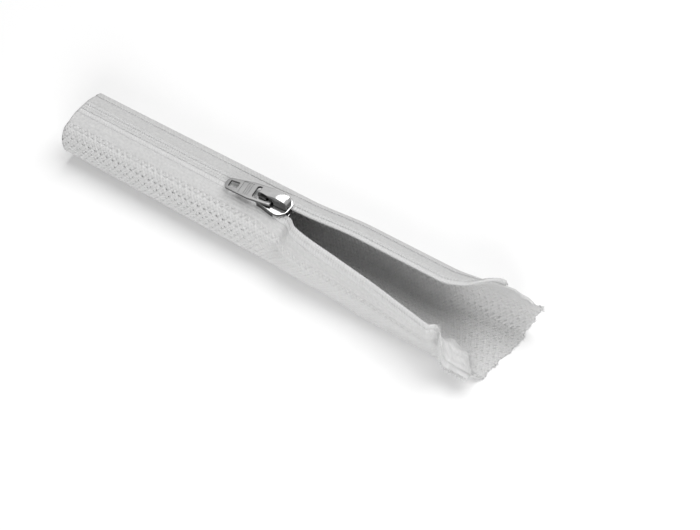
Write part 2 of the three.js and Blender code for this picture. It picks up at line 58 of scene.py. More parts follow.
class Wire:
    def __init__(self, tree, socket):
        self.tree = tree
        self.socket = socket

    def calculate(self, operation, *values):
        node = self.tree.nodes.new("ShaderNodeMath")
        node.operation = operation
        for slot, value in zip(node.inputs, values):
            plug(self.tree, slot, value)
        return Wire(self.tree, node.outputs[0])

    def __add__(self, other):
        return self.calculate("ADD", self, other)

    def __radd__(self, other):
        return self.calculate("ADD", other, self)

    def __sub__(self, other):
        return self.calculate("SUBTRACT", self, other)

    def __rsub__(self, other):
        return self.calculate("SUBTRACT", other, self)

    def __mul__(self, other):
        return self.calculate("MULTIPLY", self, other)

    def __rmul__(self, other):
        return self.calculate("MULTIPLY", other, self)

    def __truediv__(self, other):
        return self.calculate("DIVIDE", self, other)

    def __rtruediv__(self, other):
        return self.calculate("DIVIDE", other, self)

    def sine(self):
        return self.calculate("SINE", self)

    def larger(self, other):
        return self.calculate("MAXIMUM", self, other)

    def thereAndBack(self, width):
        return self.calculate("PINGPONG", self, width)


class NodeMaker:
    def __init__(self, tree):
        self.tree = tree

    # A node of any other type: its settings first, then values or links for its sockets
    def node(self, kind, settings=None, inputs=None, output=0):
        node = self.tree.nodes.new(kind)
        for name, value in (settings or {}).items():
            setattr(node, name, value)
        for name, value in (inputs or {}).items():
            plug(self.tree, node.inputs[name], value)
        return Wire(self.tree, node.outputs[output])

    # Sockets 6 and 7 of this node are its two colours, and its output 2 is the mixed one
    def mixColour(self, factor, first, second):
        settings = {"data_type": "RGBA"}
        return self.node("ShaderNodeMix", settings, {0: factor, 6: first, 7: second}, 2)


# Undyed thread and plating are a little warmer than plain grey
slightWarmth = 0.004


def grey(level, warmth=0.0):
    return (level * (1 + warmth), level, level * (1 - warmth), 1.0)


def noiseAt(maker, place, scale, detail=2.0):
    return maker.node("ShaderNodeTexNoise", None, {"Vector": place, "Scale": scale, "Detail": detail})


def weighed(parts, weights):
    total = parts[0] * weights[0]
    for part, weight in zip(parts[1:], weights[1:]):
        total = total + part * weight
    return total


def newFinish(name, shader):
    finish = bpy.data.materials.new(name)
    finish.use_nodes = True
    maker = NodeMaker(finish.node_tree)
    principled = finish.node_tree.nodes["Principled BSDF"]
    for socketName, value in shader.items():
        principled.inputs[socketName].default_value = value
    return finish, maker, principled


# The sleeve's form in millimetres, worked out as in the part's source
form = {
    "length": 192.0,
    "noseAt": 97.0,
    "height": 17.55,
    "topFlat": 4.7,
    "sideRise": 1.5,
    "flatClosed": 3.8,
    "flatAtSlider": 5.2,
    "flatOpen": {-1: 12.2, 1: 9.5},
    "flatFrom": {-1: 97.0, 1: 157.0},
    "flatReach": {-1: 45.0, 1: 20.0},
    "leanZone": 0.6,
    "nearLean": 77.0,
    "nearLeanReach": 75.0,
    "nearLeanPower": 0.6,
    "nearLeanSoftening": 6.0,
    "nearRise": 78.0,
    "nearRiseFrom": 164.0,
    "nearRiseReach": 9.0,
    "farLean": 30.0,
    "farLeanFrom": 157.0,
    "farLeanReach": 20.0,
    "drift": 1.8,
    "driftFrom": 98.0,
    "driftReach": 26.0,
    "fold": {
        -1: {"from": 165.0, "reach": 10.0, "turn": 215.0, "outer": 15.5, "inner": 7.0},
        1: {"from": 165.0, "reach": 12.0, "turn": 45.0, "outer": 11.0, "inner": 3.0},
    },
    "spread": 2.2,
    "spreadReach": 11.0,
    "spreadFade": 16.0,
    "coilOuter": 3.1,
    "meshEdge": 8.2,
    "meshLow": 0.55,
    "meshHigh": 1.25,
    "cutFrom": 160.0,
    "cutFray": 0.5,
    "cutFrayWaves": (23.0, 9.0),
    "fineFrayWaves": (131.0, 67.0),
    "fineFrayStart": 1.7,
    "cutRound": (-1, -0.85, -0.7, -0.35, 0, 0.6, 0.8, 0.9, 0.95, 1),
    "cutAlong": (184, 180.5, 176.5, 184.5, 187, 190, 191.5, 186, 182, 179),
    "step": 0.25,
    "tableLength": 194.0,
    "tableGirth": 42.0,
}
bodyLow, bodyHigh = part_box("slider_body")
shiftAlong = bodyHigh[0] / mm - form["noseAt"]
shiftAcross = (bodyLow[1] + bodyHigh[1]) / 2 / mm


def ease(t):
    t = np.clip(t, 0.0, 1.0)
    return t * t * (3 - 2 * t)


def halfGirthFor(bottomFlat):
    lower = (form["height"] - form["sideRise"] + form["topFlat"] - bottomFlat) / 2
    upper = bottomFlat + lower - form["topFlat"]
    return bottomFlat + form["topFlat"] + form["sideRise"] + (lower + upper) * math.pi / 2


def bottomFlatAt(s, side):
    nose = form["noseAt"]
    closed = form["flatClosed"] + (form["flatAtSlider"] - form["flatClosed"]) * ease(s / nose)
    opening = ease((s - form["flatFrom"][side]) / form["flatReach"][side])
    opened = form["flatAtSlider"] + (form["flatOpen"][side] - form["flatAtSlider"]) * opening
    return np.where(s < nose, closed, opened)


def halfGirthAt(s):
    return halfGirthFor(np.where(s < form["noseAt"], bottomFlatAt(s, 1), form["flatAtSlider"]))


def leanAt(s, side):
    if side > 0:
        return np.radians(form["farLean"]) * ease((s - form["farLeanFrom"]) / form["farLeanReach"])
    past = s - form["noseAt"]
    opening = np.clip(past / form["nearLeanReach"], 0, 1) ** form["nearLeanPower"]
    opening = opening * ease(past / form["nearLeanSoftening"])
    rise = ease((s - form["nearRiseFrom"]) / form["nearRiseReach"])
    return np.radians(form["nearLean"]) * opening - np.radians(form["nearRise"]) * rise


def spreadAt(s):
    return form["spread"] * ease((s - form["noseAt"] + form["spreadReach"]) / form["spreadReach"])


# Half sections for every quarter millimetre of length, from the bottom centre to the zip
def sectionTable(side):
    step = form["step"]
    s = np.arange(0, form["tableLength"], step)[:, None]
    girth = halfGirthAt(s)
    flat = bottomFlatAt(s, side)
    radii = (girth - flat - form["topFlat"] - form["sideRise"]) / (math.pi / 2)
    lower = (radii + form["topFlat"] - flat) / 2
    upper = radii - lower
    lean = leanAt(s, side)
    fold = form["fold"][side]
    foldTurn = np.radians(fold["turn"]) * ease((s - fold["from"]) / fold["reach"])

    def headingAt(p):
        past = p - flat
        first = np.clip(past / lower, 0, math.pi / 2)
        second = np.clip((past - lower * math.pi / 2 - form["sideRise"]) / upper, 0, math.pi / 2)
        leaning = lean * ease(past / (form["leanZone"] * (girth - flat)))
        folding = foldTurn * ease((fold["outer"] - (girth - p)) / (fold["outer"] - fold["inner"]))
        return first + second - leaning - folding

    p = np.arange(0, form["tableGirth"], step)[None, :]
    middle = headingAt(p + step / 2)
    y = np.cumsum(np.cos(middle) * step, axis=1)
    z = np.cumsum(np.sin(middle) * step, axis=1)
    start = np.zeros((len(s), 1))
    return {
        "y": np.hstack([start, y[:, :-1]]),
        "z": np.hstack([start, z[:, :-1]]),
        "heading": headingAt(p),
    }


tables = {-1: sectionTable(-1), 1: sectionTable(1)}
# Places are held this far before a table's count, so that each one has a next row and column
tableShort = 1.001


def readTable(side, s, p):
    step = form["step"]
    table = tables[side]
    rows, columns = table["y"].shape
    a = np.clip(s / step, 0, rows - tableShort)
    b = np.clip(p / step, 0, columns - tableShort)
    i, j = a.astype(int), b.astype(int)
    u, v = a - i, b - j
    found = []
    for grid in (table["y"], table["z"], table["heading"]):
        low = grid[i, j] * (1 - v) + grid[i, j + 1] * v
        high = grid[i + 1, j] * (1 - v) + grid[i + 1, j + 1] * v
        found.append(low * (1 - u) + high * u)
    return found


# The shallow wrinkles of the slack end. Each wave has its share of the height, how fast it
# turns along the sleeve and round it, and where it starts
crumple = {
    -1: {
        "from": 165.0, "reach": 8.0, "full": 13.0, "gone": 21.0, "height": 0.55,
        "waves": ((0.6, 0.8, 0.5, 0.6), (0.4, -0.45, 1.3, -1.0)),
    },
    1: {
        "from": 170.0, "reach": 10.0, "full": 10.0, "gone": 20.0, "height": 0.25,
        "waves": ((0.6, 0.8, 0.5, 0.6), (0.4, -0.45, 1.3, 1.0)),
    },
}


def wrinkleAt(s, half, d):
    zone = crumple[half]
    share = ease((s - zone["from"]) / zone["reach"])
    share = share * (1 - ease((d - zone["full"]) / (zone["gone"] - zone["full"])))
    waves = sum(
        part * np.sin(s * along + d * around + start) for part, along, around, start in zone["waves"])
    return zone["height"] * share * waves


# Places on the cloth (along, side, distance from the zip, height off the tape) in metres
def drape(s, side, d, n):
    s, side, d, n = np.broadcast_arrays(*(np.asarray(v, dtype=float) for v in (s, side, d, n)))
    spread = spreadAt(s) * (1 - ease((d - form["coilOuter"]) / form["spreadFade"]))
    p = halfGirthAt(s) - d - spread
    y, z, heading, rise = (np.zeros(s.shape) for _ in range(4))
    for half in (-1, 1):
        here = side == half
        y[here], z[here], heading[here] = readTable(half, s[here], p[here])
        rise[here] = wrinkleAt(s[here], half, d[here])
    n = n + rise
    y = y + np.sin(heading) * n
    z = z - np.cos(heading) * n
    drift = form["drift"] * ease((s - form["driftFrom"]) / form["driftReach"])
    places = (s + shiftAlong, side * y + drift + shiftAcross, z + form["meshHigh"])
    return np.stack(places, axis=-1) * mm


# Draws what lies past cutFrom in, so that the cloth ends on its slanted, frayed cut
def trimmed(s, side, d, extraFray=0.0):
    s, side, d = np.broadcast_arrays(*(np.asarray(v, dtype=float) for v in (s, side, d)))
    around = side * np.clip(1 - d / halfGirthAt(s), 0, None)
    waves, fineWaves, start = form["cutFrayWaves"], form["fineFrayWaves"], form["fineFrayStart"]
    coarse = form["cutFray"] * np.sin(around * waves[0]) * np.cos(around * waves[1])
    fine = extraFray * np.sin(around * fineWaves[0] + start) * np.sin(around * fineWaves[1])
    cut = np.interp(around, form["cutRound"], form["cutAlong"]) + coarse + fine
    past = (s - form["cutFrom"]) / (form["length"] - form["cutFrom"])
    return np.where(s < form["cutFrom"], s, form["cutFrom"] + past * (cut - form["cutFrom"]))


# Mesh objects from arrays
def newObject(name, points, faces, finish, uv=None, smooth=True):
    mesh = bpy.data.meshes.new(name)
    mesh.from_pydata([tuple(point) for point in points], [], [tuple(face) for face in faces])
    if uv is not None:
        layer = mesh.uv_layers.new(name="cloth")
        corners = np.empty(len(mesh.loops), dtype=np.int32)
        mesh.loops.foreach_get("vertex_index", corners)
        layer.data.foreach_set("uv", np.asarray(uv, dtype=np.float32)[corners].ravel())
    mesh.polygons.foreach_set("use_smooth", [smooth] * len(mesh.polygons))
    mesh.materials.append(finish)
    mesh.validate()
    thing = bpy.data.objects.new(name, mesh)
    scene.collection.objects.link(thing)
    return thing


# A sheet gets its second face and the rim that joins the two
def thicken(faces, count):
    seen = {}
    for face in faces:
        for a, b in zip(face, face[1:] + face[:1]):
            seen[(a, b)] = True
    allFaces = [list(face) for face in faces]
    allFaces += [[k + count for k in reversed(face)] for face in faces]
    for a, b in seen:
        if (b, a) not in seen:
            allFaces.append([b, a, a + count, b + count])
    return allFaces


def gridFaces(columns, rows):
    faces = []
    for i in range(columns - 1):
        for j in range(rows - 1):
            a = i * rows + j
            faces.append([a, a + rows, a + rows + 1, a + 1])
    return faces


# Below this sine of its angle to the upright, a tube takes its sideways from the long axis
nearlyUpright = 0.05


# A tube along a path, open or capped
def tube(path, radius, sides, capped=True):
    path = np.asarray(path, dtype=float)
    tangents = np.gradient(path, axis=0)
    tangents /= np.linalg.norm(tangents, axis=1)[:, None]
    radii = np.broadcast_to(radius, (len(path),))
    points, faces = [], []
    up, forward = np.array([0.0, 0.0, 1.0]), np.array([1.0, 0.0, 0.0])
    for centre, tangent, r in zip(path, tangents, radii):
        sideways = np.cross(up, tangent)
        if np.linalg.norm(sideways) < nearlyUpright:
            sideways = np.cross(forward, tangent)
        sideways /= np.linalg.norm(sideways)
        upward = np.cross(tangent, sideways)
        for k in range(sides):
            angle = fullTurn * k / sides
            points.append(centre + r * (math.cos(angle) * sideways + math.sin(angle) * upward))
    for i in range(len(path) - 1):
        for k in range(sides):
            a, b = i * sides + k, i * sides + (k + 1) % sides
            faces.append([a, b, b + sides, a + sides])
    if capped:
        faces.append(list(reversed(range(sides))))
        last = (len(path) - 1) * sides
        faces.append([last + k for k in range(sides)])
    return points, faces


# Geometry Nodes: one cell repeated along and round the flat cloth
def makeRepeatTree():
    tree = bpy.data.node_groups.new("repeatOnCloth", "GeometryNodeTree")
    sockets = (
        ("Cell", "NodeSocketObject"),
        ("Along Count", "NodeSocketInt"), ("Round Count", "NodeSocketInt"),
        ("Along Pitch", "NodeSocketFloat"), ("Round Pitch", "NodeSocketFloat"),
        ("Weld", "NodeSocketFloat"), ("Finish", "NodeSocketMaterial"),
    )
    for socketName, kind in sockets:
        tree.interface.new_socket(name=socketName, in_out="INPUT", socket_type=kind)
    tree.interface.new_socket(name="Geometry", in_out="OUTPUT", socket_type="NodeSocketGeometry")
    maker = NodeMaker(tree)
    given = tree.nodes.new("NodeGroupInput")
    value = {name: Wire(tree, given.outputs[name]) for name, kind in sockets}
    grid = maker.node("GeometryNodeMeshGrid", inputs={
        "Size X": (value["Along Count"] - 1) * value["Along Pitch"],
        "Size Y": (value["Round Count"] - 1) * value["Round Pitch"],
        "Vertices X": value["Along Count"],
        "Vertices Y": value["Round Count"],
    })
    cell = maker.node("GeometryNodeObjectInfo", inputs={"Object": value["Cell"]}, output="Geometry")
    placed = maker.node("GeometryNodeInstanceOnPoints", inputs={"Points": grid, "Instance": cell})
    real = maker.node("GeometryNodeRealizeInstances", inputs={"Geometry": placed})
    welded = maker.node("GeometryNodeMergeByDistance", inputs={
        "Geometry": real, "Distance": value["Weld"]})
    painted = maker.node("GeometryNodeSetMaterial", inputs={
        "Geometry": welded, "Material": value["Finish"]})
    result = tree.nodes.new("NodeGroupOutput")
    tree.links.new(painted.socket, result.inputs["Geometry"])
    return tree


repeatTree = makeRepeatTree()
# Points of neighbouring cells that lie this close, in millimetres, become one
cellWeld = 0.001


def repeated(cellPoints, cellFaces, settings, offsets=None):
    cellMesh = bpy.data.meshes.new("cell")
    cellMesh.from_pydata(
        [tuple(point) for point in cellPoints], [], [tuple(face) for face in cellFaces])
    if offsets is not None:
        layer = cellMesh.attributes.new("holeOffset", "FLOAT_VECTOR", "POINT")
        layer.data.foreach_set("vector", np.asarray(offsets, dtype=np.float32).ravel())
    cell = bpy.data.objects.new("cell", cellMesh)
    holder = bpy.data.objects.new("holder", bpy.data.meshes.new("holder"))
    scene.collection.objects.link(cell)
    scene.collection.objects.link(holder)
    modifier = holder.modifiers.new("repeat", "NODES")
    modifier.node_group = repeatTree
    values = {"Cell": cell, "Weld": cellWeld, **settings}
    for item in repeatTree.interface.items_tree:
        if item.in_out == "INPUT" and item.name in values:
            modifier[item.identifier] = values[item.name]
    depsgraph = bpy.context.evaluated_depsgraph_get()
    mesh = bpy.data.meshes.new_from_object(holder.evaluated_get(depsgraph))
    points = np.empty(len(mesh.vertices) * 3)
    mesh.vertices.foreach_get("co", points)
    faces = [list(polygon.vertices) for polygon in mesh.polygons]
    moved = None
    if offsets is not None:
        moved = np.empty(len(mesh.vertices) * 3, dtype=np.float32)
        mesh.attributes["holeOffset"].data.foreach_get("vector", moved)
        moved = moved.reshape(-1, 3).astype(float)
    bpy.data.objects.remove(holder)
    bpy.data.objects.remove(cell)
    bpy.data.meshes.remove(mesh)
    return points.reshape(-1, 3), faces, moved


# Finishes for the cloth, read from each piece's own UV map, where one unit is 100 mm of cloth
uvScale = 0.01


def clothPlaces(maker):
    uv = maker.node("ShaderNodeUVMap", {"uv_map": "cloth"})
    apart = maker.tree.nodes.new("ShaderNodeSeparateXYZ")
    maker.tree.links.new(uv.socket, apart.inputs[0])
    along = Wire(maker.tree, apart.outputs[0]) * (1 / uvScale)
    across = Wire(maker.tree, apart.outputs[1]) * (1 / uvScale)
    return uv, along, across


# The bump is its depth in metres and its strength
def finishSurface(maker, principled, height, colour, bump):
    depth, strength = bump
    bump = maker.node("ShaderNodeBump", None, {
        "Strength": strength, "Distance": depth, "Height": height})
    plug(maker.tree, principled.inputs["Base Color"], colour)
    plug(maker.tree, principled.inputs["Normal"], bump)


clothGrain = {"coarse": 95.0, "patches": 14.0, "detail": 3.0}
tape = {
    "inner": 1.5,
    "outer": 13.0,
    "half": 0.25,
    "rows": 24,
    "columns": 330,
    "beadAt": 3.35,
    "beadHalf": 1.9,
    "beadHeight": 0.6,
    "ribPitch": 0.62,
    "ribSlope": 0.9,
    "bandWidth": 1.25,
    "ripple": 0.04,
    "rippleAlong": 1.9,
    "rippleRound": 2.3,
    "endFray": 0.45,
    "light": 0.68,
    "dark": 0.59,
    "fibres": 500.0,
    # Weights of ribs, bands, fibres and grain in the relief, and of ribs, fibres and grain in the tone
    "relief": (0.5, 0.3, 0.6, 1.4),
    "tone": (0.16, 0.3, 2.2),
    "toneFrom": 0.75,
    "bump": (0.00018, 0.7),
    "surface": {"Roughness": 0.88, "Sheen Weight": 0.2, "Sheen Roughness": 0.5},
}


meshCloth = {
    "pitchAlong": 2.866,
    "pairPitch": 3.55,
    "pairs": 16,
    "rowHalf": 0.6,
    "holeAlong": 0.4,
    "holeRound": 0.33,
    "cornerShare": 0.9,
    "rowLift": 0.07,
    "ridgeLift": 0.03,
    "bandLift": 0.12,
    "holeLift": -0.05,
    "innerLift": 0.05,
    "closeFrom": 74.0,
    "closeReach": 24.0,
    "closedShare": {-1: 0.3, 1: 0.35},
    "backedShare": 0.4,
    "sizeFrom": 0.88,
    "sizeBy": 0.14,
    "sizeWaves": ((1.31, 0.77), (0.37, -1.9)),
    "endFray": 0.35,
    "weld": 0.02,
    "sliver": 0.01,
    "sunk": 0.14,
    "lapReach": 3.0,
    "lapLow": 0.2,
    "lapHigh": {-1: 0.31, 1: 0.6},
    "light": 0.67,
    "dark": 0.6,
    "fibres": 420.0,
    "yarnWaves": 2,
    "strandWaves": 8,
    # Weights of yarns, strands, fibres and grain in the relief, and of yarns, fibres, patches and
    # grain in the tone
    "relief": (1.3, 0.3, 0.7, 0.8),
    "tone": (0.3, 0.2, 0.2, 1.3),
    "toneFrom": 0.5,
    "bump": (0.00016, 0.6),
    "surface": {"Roughness": 0.92, "Sheen Weight": 0.25, "Sheen Roughness": 0.5},
}


def makeMeshFinish():
    finish, maker, principled = newFinish("wovenMesh", meshCloth["surface"])
    uv, along, across = clothPlaces(maker)
    pitch = meshCloth["pitchAlong"]
    first = (along / pitch + across / meshCloth["pairPitch"]) * fullTurn
    second = (along / pitch - across / meshCloth["pairPitch"]) * fullTurn
    fibres = noiseAt(maker, uv, meshCloth["fibres"], clothGrain["detail"])
    patches = noiseAt(maker, uv, clothGrain["patches"])
    grain = noiseAt(maker, uv, clothGrain["coarse"])
    yarns, strands = (
        (first * count).sine().larger((second * count).sine())
        for count in (meshCloth["yarnWaves"], meshCloth["strandWaves"]))
    height = weighed((yarns, strands, fibres, grain), meshCloth["relief"])
    shade = weighed((yarns, fibres, patches, grain), meshCloth["tone"]) - meshCloth["toneFrom"]
    colour = maker.mixColour(shade, grey(meshCloth["dark"]), grey(meshCloth["light"], slightWarmth))
    finishSurface(maker, principled, height, colour, meshCloth["bump"])
    return finish


# One cell of the mesh: two staggered rows of holes and the closed band beside them
def makeMeshCell():
    half = meshCloth["pitchAlong"] / 2
    row = meshCloth["rowHalf"]
    band = meshCloth["pairPitch"] - 4 * row
    base = -meshCloth["pairPitch"] / 2
    points, faces, offsets = [], [], []

    def add(x, y, z, offset=(0.0, 0.0, 0.0)):
        points.append((x, y, z))
        offsets.append(offset)
        return len(points) - 1

    rim = ((-1, -1), (0, -1), (1, -1), (1, 0), (1, 1), (0, 1), (-1, 1), (-1, 0))
    for centreAlong, centreRound in ((0.0, base + row), (half, base + 3 * row)):
        outer, inner = [], []
        for i, j in rim:
            lift = meshCloth["rowLift"] if j else meshCloth["ridgeLift"]
            outer.append(add(centreAlong + i * half, centreRound + j * row, lift))
            angle = math.atan2(j * meshCloth["cornerShare"], i)
            x, y = math.cos(angle) * meshCloth["holeAlong"], math.sin(angle) * meshCloth["holeRound"]
            place = (centreAlong + x, centreRound + y, meshCloth["holeLift"])
            inner.append(add(*place, offset=(x, y, 0.0)))
        for k in range(len(rim)):
            n = (k + 1) % len(rim)
            faces.append([outer[k], outer[n], inner[n], inner[k]])
    middle = 0.5
    for low, high in ((0.0, middle), (middle, 1.0)):
        for i in (-1, 0):
            corners = []
            for di, share in ((0, low), (1, low), (1, high), (0, high)):
                lift = meshCloth["bandLift"] if share == middle else meshCloth["rowLift"]
                corners.append(add((i + di) * half, base + 4 * row + share * band, lift))
            faces.append(corners)
    return points, faces, offsets


def makeMesh():
    pitch = meshCloth["pitchAlong"]
    count = int(math.ceil(form["length"] / pitch)) + 1
    cellPoints, cellFaces, offsets = makeMeshCell()
    finish = makeMeshFinish()
    settings = {
        "Along Count": count, "Round Count": meshCloth["pairs"],
        "Along Pitch": pitch, "Round Pitch": meshCloth["pairPitch"], "Finish": finish,
    }
    points, faces, moved = repeated(cellPoints, cellFaces, settings, offsets)
    s = points[:, 0] + (count - 1) * pitch / 2
    across = points[:, 1]
    side = np.where(across < 0, -1, 1)
    halfWidth = meshCloth["pairs"] * meshCloth["pairPitch"] / 2
    # The holes close where the cloth is slack beside the opening and where the tape backs it,
    # and their sizes vary a little
    closedShare, lapHigh = (
        np.where(side < 0, meshCloth[name][-1], meshCloth[name][1])
        for name in ("closedShare", "lapHigh"))
    share = 1 - (1 - closedShare) * ease((s - meshCloth["closeFrom"]) / meshCloth["closeReach"])
    backed = np.abs(across) > halfWidth - (tape["outer"] - form["meshEdge"])
    share = np.where(backed, share * meshCloth["backedShare"], share)
    first, second = (np.sin(s * a + across * b) for a, b in meshCloth["sizeWaves"])
    vary = meshCloth["sizeFrom"] + meshCloth["sizeBy"] * first * second
    shrink = (1 - share * vary)[:, None] * moved
    s = np.clip(s - shrink[:, 0], 0, form["length"])
    across = across - shrink[:, 1]
    girth = halfGirthAt(s)
    d = girth - np.abs(across) / halfWidth * (girth - form["meshEdge"])
    sCut = trimmed(s, side, d, meshCloth["endFray"])
    # The edge is pressed down on the tape, so that the lap shows as a fine line only
    pressed = 1 - ease((d - form["meshEdge"]) / meshCloth["lapReach"])
    high = form["meshHigh"] + points[:, 2] - meshCloth["sunk"]
    low = form["meshLow"] + meshCloth["innerLift"]
    outer = drape(sCut, side, d, high + (lapHigh - high) * pressed)
    inner = drape(sCut, side, d, low + (meshCloth["lapLow"] - low) * pressed)
    uv = np.stack([s, across], axis=-1) * uvScale
    allFaces = thicken(faces, len(s))
    thing = newObject("woven_mesh", np.vstack([outer, inner]), allFaces, finish, np.vstack([uv, uv]))
    work = bmesh.new()
    work.from_mesh(thing.data)
    bmesh.ops.remove_doubles(work, verts=work.verts, dist=meshCloth["weld"] * mm)
    bmesh.ops.dissolve_degenerate(work, edges=work.edges, dist=meshCloth["sliver"] * mm)
    work.to_mesh(thing.data)
    work.free()
    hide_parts("sleeve_mesh")
    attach(thing, "sleeve")
    return thing


sleeveMesh = makeMesh()
print("woven mesh made")


def makeTapeFinish():
    finish, maker, principled = newFinish("herringboneTape", tape["surface"])
    uv, along, across = clothPlaces(maker)
    zigzag = across.thereAndBack(tape["bandWidth"])
    ribs = ((along + zigzag * tape["ribSlope"]) * (fullTurn / tape["ribPitch"])).sine()
    bands = (across * (fullTurn / tape["bandWidth"])).sine()
    fibres = noiseAt(maker, uv, tape["fibres"], clothGrain["detail"])
    grain = noiseAt(maker, uv, clothGrain["coarse"])
    height = weighed((ribs, bands, fibres, grain), tape["relief"])
    shade = weighed((ribs, fibres, grain), tape["tone"]) - tape["toneFrom"]
    colour = maker.mixColour(shade, grey(tape["dark"]), grey(tape["light"], slightWarmth))
    finishSurface(maker, principled, height, colour, tape["bump"])
    return finish


tapeFinish = makeTapeFinish()


def makeTape(name, side, node):
    columns, rows = tape["columns"], tape["rows"]
    s = np.repeat(np.linspace(0, form["length"], columns), rows)
    d = np.tile(np.linspace(tape["inner"], tape["outer"], rows), columns)
    sCut = trimmed(s, side, d, tape["endFray"])
    ripple = tape["ripple"] / 2 * np.sin(s * tape["rippleAlong"] + d * tape["rippleRound"])
    bead = tape["beadHeight"] * np.exp(-((d - tape["beadAt"]) / tape["beadHalf"]) ** 2)
    outer = drape(sCut, side, d, tape["half"] + ripple + bead)
    inner = drape(sCut, side, d, -tape["half"] + ripple)
    faces = gridFaces(columns, rows)
    if side > 0:
        faces = [face[::-1] for face in faces]
    uv = np.stack([s, d], axis=-1) * uvScale
    allFaces = thicken(faces, len(s))
    thing = newObject(name, np.vstack([outer, inner]), allFaces, tapeFinish, np.vstack([uv, uv]))
    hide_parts(node)
    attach(thing, "sleeve")
    return thing


tapeNear = makeTape("tape_near", -1, "zip_tape_near")
tapeFar = makeTape("tape_far", 1, "zip_tape_far")
print("zip tapes made")


coil = {
    "pitch": 1.1,
    "wire": 0.24,
    "sides": 6,
    "start": 0.3,
    "end": {-1: 183.2, 1: 178.2},
    # One loop: along as a share of the pitch, distance from the zip, height off the tape
    "loop": (
        (0.0, 2.84, 1.05), (0.03, 2.6, 0.72), (0.12, 1.3, 0.62), (0.22, 0.1, 0.63), (0.3, -0.22, 0.76),
        (0.36, -0.31, 1.04), (0.43, -0.2, 1.3), (0.52, 0.15, 1.42), (0.72, 1.3, 1.45), (0.92, 2.5, 1.4),
        (0.98, 2.78, 1.24), (1.0, 2.84, 1.05),
    ),
    # The cover's section: distance from the zip, height off the tape
    "cover": (
        (-0.42, 1.0), (-0.33, 1.3), (0.05, 1.46), (1.3, 1.5), (2.3, 1.44), (3.0, 1.18), (3.5, 0.8),
        (3.05, 0.5), (1.5, 0.42), (0.2, 0.42), (-0.28, 0.62),
    ),
    "coverFrom": 0.4,
    "coverShort": 0.6,
    "coverStep": 0.7,
    "coverClosedEdge": 0.03,
    "light": 0.63,
    "dark": 0.59,
    "specks": 900.0,
    "bump": (0.00004, 0.35),
    "surface": {"Roughness": 0.6, "Specular IOR Level": 0.3},
}
thread = {
    "light": 0.64,
    "dark": 0.58,
    "twists": 900.0,
    "unevenness": 1.5,
    "bump": (0.00005, 0.5),
    "surface": {"Roughness": 0.7, "Sheen Weight": 0.2},
}


def makeCoilFinish():
    finish, maker, principled = newFinish("nylonCoil", coil["surface"])
    specks = noiseAt(maker, maker.node("ShaderNodeTexCoord", output="Object"), coil["specks"])
    colour = maker.mixColour(specks, grey(coil["dark"]), grey(coil["light"], slightWarmth))
    finishSurface(maker, principled, specks, colour, coil["bump"])
    return finish


def makeThreadFinish():
    finish, maker, principled = newFinish("sewingThread", thread["surface"])
    place = maker.node("ShaderNodeTexCoord", output="Object")
    twist = maker.node("ShaderNodeTexWave", {"wave_type": "BANDS"}, {
        "Vector": place, "Scale": thread["twists"], "Distortion": thread["unevenness"]})
    colour = maker.mixColour(twist, grey(thread["dark"]), grey(thread["light"]))
    finishSurface(maker, principled, twist, colour, thread["bump"])
    return finish


coilFinish = makeCoilFinish()
threadFinish = makeThreadFinish()


def closeEnds(thing):
    work = bmesh.new()
    work.from_mesh(thing.data)
    edges = [edge for edge in work.edges if edge.is_boundary]
    bmesh.ops.holes_fill(work, edges=edges, sides=0)
    bmesh.ops.recalc_face_normals(work, faces=work.faces)
    work.to_mesh(thing.data)
    work.free()


def alongCloth(name, cellPoints, cellFaces, pitch, start, count, side, finish):
    settings = {
        "Along Count": count, "Round Count": 1,
        "Along Pitch": pitch, "Round Pitch": 1.0, "Finish": finish,
    }
    points, faces, _ = repeated(cellPoints, cellFaces, settings)
    s = points[:, 0] + (count - 1) * pitch / 2 + start
    places = drape(s, side, points[:, 1], points[:, 2])
    if side > 0:
        faces = [face[::-1] for face in faces]
    return newObject(name, places, faces, finish)


def makeCoil(name, side, node):
    pitch = coil["pitch"]
    path = [(share * pitch, d, n) for share, d, n in coil["loop"]]
    cellPoints, cellFaces = tube(path, coil["wire"], coil["sides"], capped=False)
    start = coil["start"] if side < 0 else coil["start"] + pitch / 2
    count = int((coil["end"][side] - start) / pitch)
    thing = alongCloth(name, cellPoints, cellFaces, pitch, start, count, side, coilFinish)
    closeEnds(thing)
    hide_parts(node)
    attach(thing, "sleeve")


# The woven cover that fills the coil, so that the loops show as fine cross lines only.
# Where the zip is closed it ends at the centre line
def makeCover(name, side):
    s = np.arange(coil["coverFrom"], coil["end"][side] - coil["coverShort"], coil["coverStep"])
    apart = ease(spreadAt(s) / form["spread"])
    closedEdge = coil["coverClosedEdge"]
    rings = []
    for d, n in coil["cover"]:
        rings.append(drape(s, side, max(d, closedEdge) * (1 - apart) + d * apart, n))
    points = np.stack(rings, axis=1).reshape(-1, 3)
    count = len(rings)
    faces = []
    for i in range(len(s) - 1):
        for k in range(count):
            a, b = i * count + k, i * count + (k + 1) % count
            faces.append([a, b, b + count, a + count])
    thing = newObject(name, points, faces, threadFinish)
    closeEnds(thing)
    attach(thing, "sleeve")


makeCoil("coil_near", -1, "zip_coil_near")
makeCoil("coil_far", 1, "zip_coil_far")
makeCover("coil_cover_near", -1)
makeCover("coil_cover_far", 1)
print("zip coils made")


coilStitch = {"at": 1.35, "height": 1.76, "pitch": coil["pitch"], "length": 1.0, "radius": 0.15}
seamStitch = {"at": 9.6, "height": 0.74, "pitch": 2.4, "length": 1.9, "radius": 0.13, "end": 176.0}
# One stitch: share of the length, height over the cloth and thickness as shares of the radius
stitchShape = (
    (-0.5, -1.2, 0.6), (-0.34, 0.0, 1.0), (0.0, 0.3, 1.05), (0.34, 0.0, 1.0), (0.5, -1.2, 0.6),
)
stitchFrom = 1.2


